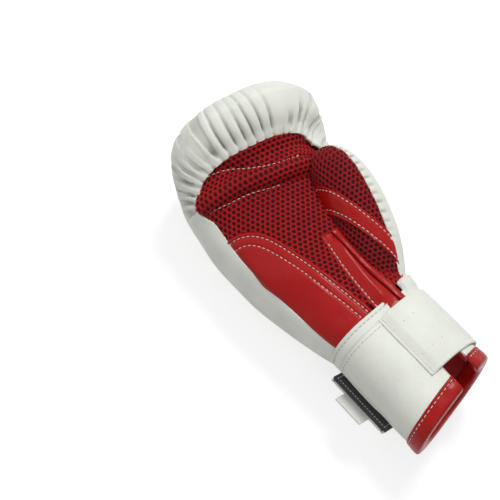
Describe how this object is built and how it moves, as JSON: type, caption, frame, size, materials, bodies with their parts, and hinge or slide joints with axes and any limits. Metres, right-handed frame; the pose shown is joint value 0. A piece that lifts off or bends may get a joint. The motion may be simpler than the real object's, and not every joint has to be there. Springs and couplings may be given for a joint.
{
  "type": "boxing glove",
  "caption": "Padded training boxing glove for the right hand: leather fist, mesh palm, separate thumb, and a cuff closed by a wrap-round hook-and-loop strap.",
  "frame": {"origin": "centre of the flattened patch on the back of the hand, on which the glove lies", "axes": "+Y from the cuff's mouth towards the fist, +X to the thumb's side, +Z out of the palm"},
  "size_m": [0.1379, 0.286, 0.1073],
  "materials": {
    "white_leather": "matte, fine grain",
    "red_leather": "semi-gloss, soft grain",
    "red_mesh": "spacer mesh with open cells",
    "red_lining": "smooth nylon",
    "foam": "closed-cell foam",
    "black_tape": "hook and loop tape",
    "white_webbing": "folded tape",
    "label_cloth": "woven label"
  },
  "bodies": {
    "mitt": {"back_cover": "white_leather", "slit_placket": "red_leather", "slit_binding": "red_leather", "heel_panel": "red_leather", "palm_mesh": "red_mesh", "grip_bar": "foam", "palm_padding": "foam", "knuckle_padding_outer": "foam", "knuckle_padding_inner": "foam", "hand_lining": "red_lining", "thumb_cover": "white_leather", "thumb_band": "red_leather", "thumb_root_mesh": "red_mesh", "thumb_mesh": "red_mesh", "thumb_padding": "foam", "thumb_lining": "red_lining", "cuff_palm_cover": "white_leather", "cuff_back_cover": "white_leather", "cuff_padding": "foam", "cuff_lining": "red_lining", "cuff_binding": "red_leather", "size_label": "label_cloth", "loop_tape": "black_tape", "strap_anchor": "white_leather"},
    "strap_upper": {"strap_upper": "white_leather"},
    "strap_side": {"strap_side": "white_leather"},
    "strap_back": {"strap_back": "white_leather", "hook_tape": "black_tape"},
    "strap_end": {"strap_end": "white_leather", "hook_tape_end": "black_tape"},
    "pull_tab": {"pull_tab": "white_webbing"}
  },
  "joints": [
    {"name": "strap_fold_upper", "type": "hinge", "parent": "mitt", "child": "strap_upper", "pos_m": [0.00004, -0.123, 0.077], "axis": [0, -1, 0], "range_deg": [0, 60]},
    {"name": "strap_fold_side", "type": "hinge", "parent": "strap_upper", "child": "strap_side", "pos_m": [0.02771, -0.123, 0.06103], "axis": [0, -1, 0], "range_deg": [0, 60]},
    {"name": "strap_fold_back", "type": "hinge", "parent": "strap_side", "child": "strap_back", "pos_m": [0.02771, -0.123, 0.02908], "axis": [0, -1, 0], "range_deg": [0, 60]},
    {"name": "strap_end_peel", "type": "hinge", "parent": "strap_back", "child": "strap_end", "pos_m": [-0.03471, -0.123, 0.0131], "axis": [0, -1, 0], "range_deg": [0, 50]},
    {"name": "pull_tab_flex", "type": "hinge", "parent": "strap_end", "child": "pull_tab", "pos_m": [-0.05616, -0.123, 0.0311], "axis": [0, -1, 0], "range_deg": [0, 40]}
  ],
  "couplings": [
    {"joint": "strap_fold_side", "follows": "strap_fold_upper", "ratio": 1},
    {"joint": "strap_fold_back", "follows": "strap_fold_upper", "ratio": 1}
  ]
}
